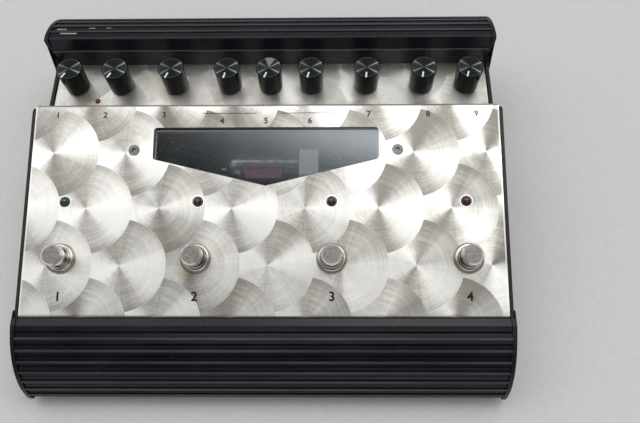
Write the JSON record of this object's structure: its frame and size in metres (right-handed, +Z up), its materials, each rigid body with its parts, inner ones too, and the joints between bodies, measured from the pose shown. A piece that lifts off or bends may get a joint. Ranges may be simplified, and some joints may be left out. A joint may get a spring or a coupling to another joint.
{
  "type": "tape echo unit",
  "caption": "Floor echo unit with a sloping swirl-finished metal cover, foot switches, a recessed knob deck, a smoked window and ribbed black end rails.",
  "frame": {"origin": "on the floor, at the middle of the footprint", "axes": "+X to the right along the long side, +Y to the rear with the connectors, +Z up"},
  "size_m": [0.2546, 0.2235, 0.0736],
  "materials": {
    "swirl_steel": "engine-turned, lightly worn",
    "rail_black": "satin black anodised",
    "cap_plastic": "fine grained",
    "side_black": "satin black powder coat",
    "tray_paint": "satin black powder coat",
    "smoked_acrylic": "clear smoked",
    "bracket_steel": "zinc plated",
    "screw_steel": "plain",
    "screw_black": "black oxide",
    "lamp_green": "clear tinted",
    "lamp_red": "clear tinted",
    "chrome": "polished, worn on top",
    "nickel": "nickel plated",
    "board_green": "solder mask",
    "part_black": "moulded",
    "tube_glass": "clear",
    "electrode_metal": "matt grey",
    "socket_ceramic": "unglazed",
    "jack_plastic": "moulded",
    "foot_rubber": "matt",
    "knob_plastic": "moulded",
    "knob_disc": "spun, black anodised",
    "shaft_metal": "turned"
  },
  "bodies": {
    "case": {"chassis_tray": "tray_paint", "front_rail": "rail_black", "rear_rail": "rail_black", "front_rail_end_caps": "cap_plastic", "rear_rail_end_caps": "cap_plastic", "cheek_right": "side_black", "cheek_left": "side_black", "main_cover": "swirl_steel", "knob_deck": "swirl_steel", "window_lens": "smoked_acrylic", "window_retainer": "bracket_steel", "cover_screws": "screw_steel", "green_lamp": "lamp_green", "red_lamps": "lamp_red", "footswitch_bodies": "chrome", "footswitch_nuts": "nickel", "pot_bodies": "bracket_steel", "pot_board": "board_green", "main_board": "board_green", "board_standoffs": "nickel", "board_parts": "part_black", "tube_envelope": "tube_glass", "tube_electrodes": "electrode_metal", "tube_socket": "socket_ceramic", "rear_jacks": "jack_plastic", "jack_nuts": "nickel", "power_inlet": "jack_plastic", "rubber_feet": "foot_rubber", "case_screws": "screw_black"},
    "footswitch_1": {"footswitch_1": "chrome"},
    "footswitch_2": {"footswitch_2": "chrome"},
    "footswitch_3": {"footswitch_3": "chrome"},
    "footswitch_4": {"footswitch_4": "chrome"},
    "knob_1": {"knob_1": "knob_plastic", "knob_disc_1": "knob_disc", "knob_shaft_1": "shaft_metal"},
    "knob_2": {"knob_2": "knob_plastic", "knob_disc_2": "knob_disc", "knob_shaft_2": "shaft_metal"},
    "knob_3": {"knob_3": "knob_plastic", "knob_disc_3": "knob_disc", "knob_shaft_3": "shaft_metal"},
    "knob_4": {"knob_4": "knob_plastic", "knob_disc_4": "knob_disc", "knob_shaft_4": "shaft_metal"},
    "knob_5": {"knob_5": "knob_plastic", "knob_disc_5": "knob_disc", "knob_shaft_5": "shaft_metal"},
    "knob_6": {"knob_6": "knob_plastic", "knob_disc_6": "knob_disc", "knob_shaft_6": "shaft_metal"},
    "knob_7": {"knob_7": "knob_plastic", "knob_disc_7": "knob_disc", "knob_shaft_7": "shaft_metal"},
    "knob_8": {"knob_8": "knob_plastic", "knob_disc_8": "knob_disc", "knob_shaft_8": "shaft_metal"},
    "knob_9": {"knob_9": "knob_plastic", "knob_disc_9": "knob_disc", "knob_shaft_9": "shaft_metal"}
  },
  "joints": [
    {"name": "footswitch_1_press", "type": "slide", "parent": "case", "child": "footswitch_1", "axis": [0, -0.2317, 0.9728], "range_m": [-0.003, 0], "stiffness_N_per_m": 1500, "springref_m": 0.001},
    {"name": "footswitch_2_press", "type": "slide", "parent": "case", "child": "footswitch_2", "axis": [0, -0.2317, 0.9728], "range_m": [-0.003, 0], "stiffness_N_per_m": 1500, "springref_m": 0.001},
    {"name": "footswitch_3_press", "type": "slide", "parent": "case", "child": "footswitch_3", "axis": [0, -0.2317, 0.9728], "range_m": [-0.003, 0], "stiffness_N_per_m": 1500, "springref_m": 0.001},
    {"name": "footswitch_4_press", "type": "slide", "parent": "case", "child": "footswitch_4", "axis": [0, -0.2317, 0.9728], "range_m": [-0.003, 0], "stiffness_N_per_m": 1500, "springref_m": 0.001},
    {"name": "knob_1_turn", "type": "hinge", "parent": "case", "child": "knob_1", "pos_m": [-0.1122, 0.059, 0.0595], "axis": [0, 0, 1], "range_deg": [-300, 0]},
    {"name": "knob_2_turn", "type": "hinge", "parent": "case", "child": "knob_2", "pos_m": [-0.0866, 0.059, 0.0595], "axis": [0, 0, 1], "range_deg": [-300, 0]},
    {"name": "knob_3_turn", "type": "hinge", "parent": "case", "child": "knob_3", "pos_m": [-0.0549, 0.059, 0.0595], "axis": [0, 0, 1], "range_deg": [-300, 0]},
    {"name": "knob_4_turn", "type": "hinge", "parent": "case", "child": "knob_4", "pos_m": [-0.0235, 0.059, 0.0595], "axis": [0, 0, 1], "range_deg": [-300, 0]},
    {"name": "knob_5_turn", "type": "hinge", "parent": "case", "child": "knob_5", "pos_m": [0, 0.059, 0.0595], "axis": [0, 0, 1], "range_deg": [-300, 0]},
    {"name": "knob_6_turn", "type": "hinge", "parent": "case", "child": "knob_6", "pos_m": [0.0235, 0.059, 0.0595], "axis": [0, 0, 1], "range_deg": [-300, 0]},
    {"name": "knob_7_turn", "type": "hinge", "parent": "case", "child": "knob_7", "pos_m": [0.0549, 0.059, 0.0595], "axis": [0, 0, 1], "range_deg": [-300, 0]},
    {"name": "knob_8_turn", "type": "hinge", "parent": "case", "child": "knob_8", "pos_m": [0.0866, 0.059, 0.0595], "axis": [0, 0, 1], "range_deg": [-300, 0]},
    {"name": "knob_9_turn", "type": "hinge", "parent": "case", "child": "knob_9", "pos_m": [0.1122, 0.059, 0.0595], "axis": [0, 0, 1], "range_deg": [-300, 0]}
  ]
}
